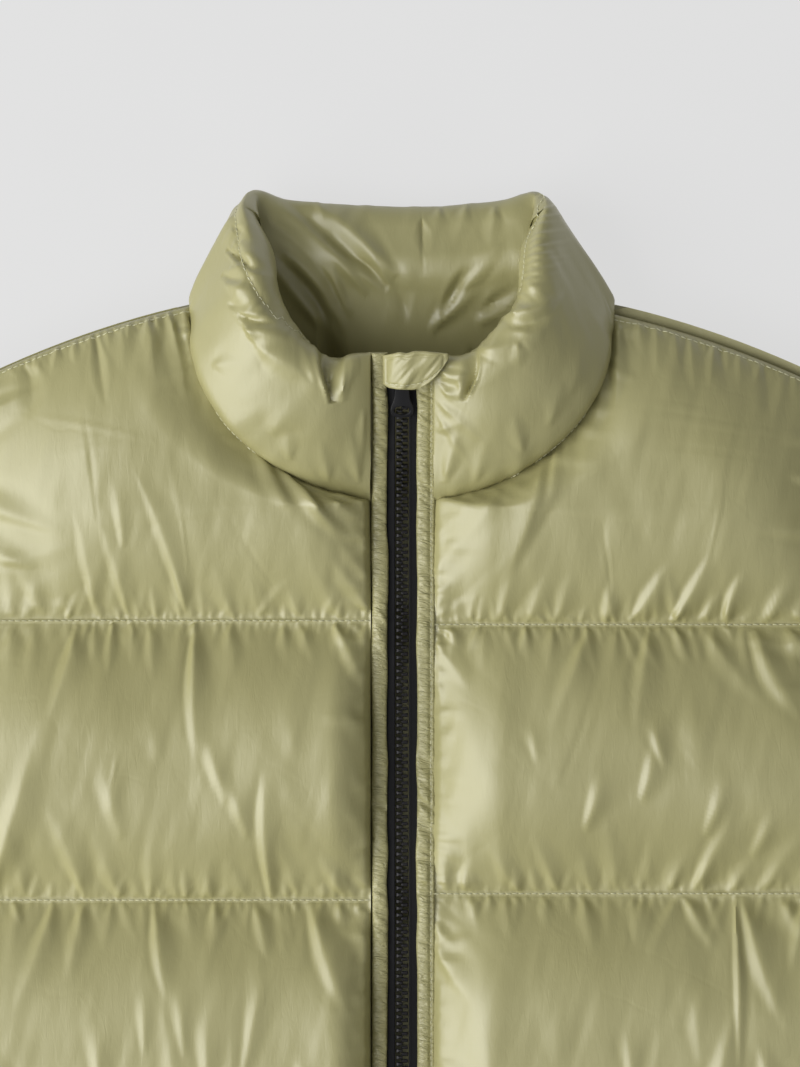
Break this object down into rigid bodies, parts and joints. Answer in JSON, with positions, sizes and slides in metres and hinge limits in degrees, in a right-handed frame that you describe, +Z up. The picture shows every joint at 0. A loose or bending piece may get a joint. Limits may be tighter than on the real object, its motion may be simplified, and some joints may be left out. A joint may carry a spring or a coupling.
{
  "type": "puffer jacket",
  "caption": "Padded jacket laid flat on its back, with horizontal quilting, a padded stand collar and a full-length front zip.",
  "frame": {"origin": "under the middle of the jacket's box, on the surface that it lies on", "axes": "+X towards the wearer's left sleeve, +Y towards the collar, +Z up, away from the surface"},
  "size_m": [1.176, 0.7154, 0.0739],
  "materials": {
    "shell_fabric": "sage green nylon with a pearly satin sheen",
    "zip_tape": "black woven tape",
    "zip_teeth": "black moulded plastic",
    "zip_metal": "black enamel, satin"
  },
  "bodies": {
    "jacket": {"back": "shell_fabric", "front_right": "shell_fabric", "front_left": "shell_fabric", "sleeve_right_top": "shell_fabric", "sleeve_right_under": "shell_fabric", "sleeve_left_top": "shell_fabric", "sleeve_left_under": "shell_fabric", "collar": "shell_fabric", "facing_right": "shell_fabric", "facing_left": "shell_fabric", "zip_garage": "shell_fabric", "zip_tape_right": "zip_tape", "zip_tape_left": "zip_tape", "zip_teeth_right": "zip_teeth", "zip_teeth_left": "zip_teeth", "zip_box": "zip_teeth", "zip_slider": "zip_metal"},
    "pull": {"zip_pull": "zip_metal"}
  },
  "joints": [
    {"name": "pull_lift", "type": "hinge", "parent": "jacket", "child": "pull", "pos_m": [0, 0.27076, 0.0634], "axis": [-1, 0, 0], "range_deg": [0, 35]}
  ]
}
